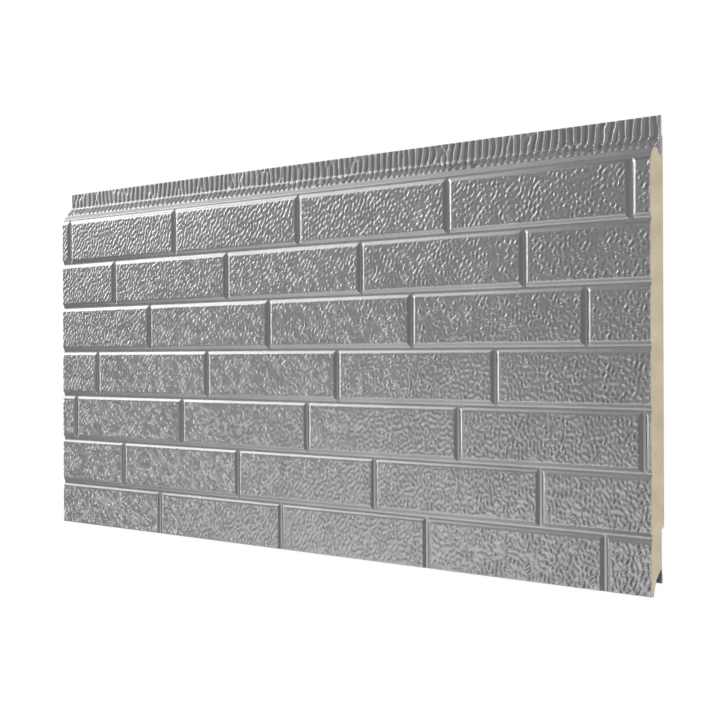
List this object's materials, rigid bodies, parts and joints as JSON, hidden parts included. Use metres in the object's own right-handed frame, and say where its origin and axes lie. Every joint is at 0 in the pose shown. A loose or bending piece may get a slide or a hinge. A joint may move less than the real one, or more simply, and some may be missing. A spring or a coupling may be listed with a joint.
{
  "type": "insulated metal siding panel",
  "caption": "Foam-backed metal wall cladding panel with a pressed brick pattern, a nailing flange along its top edge and a groove along its bottom edge.",
  "frame": {"origin": "middle of the panel's back, at the level it lies on", "axes": "+X along the panel's length, +Y up the wall towards the nailing flange, +Z out of the patterned face"},
  "size_m": [1, 0.4124, 0.016],
  "materials": {
    "painted_sheet": "satin grey paint on pressed steel",
    "foam": "sawn rigid foam, beige",
    "foil": "dull embossed foil"
  },
  "bodies": {
    "root": {"face_sheet": "painted_sheet", "foam_core": "foam", "back_foil": "foil"}
  },
  "joints": []
}
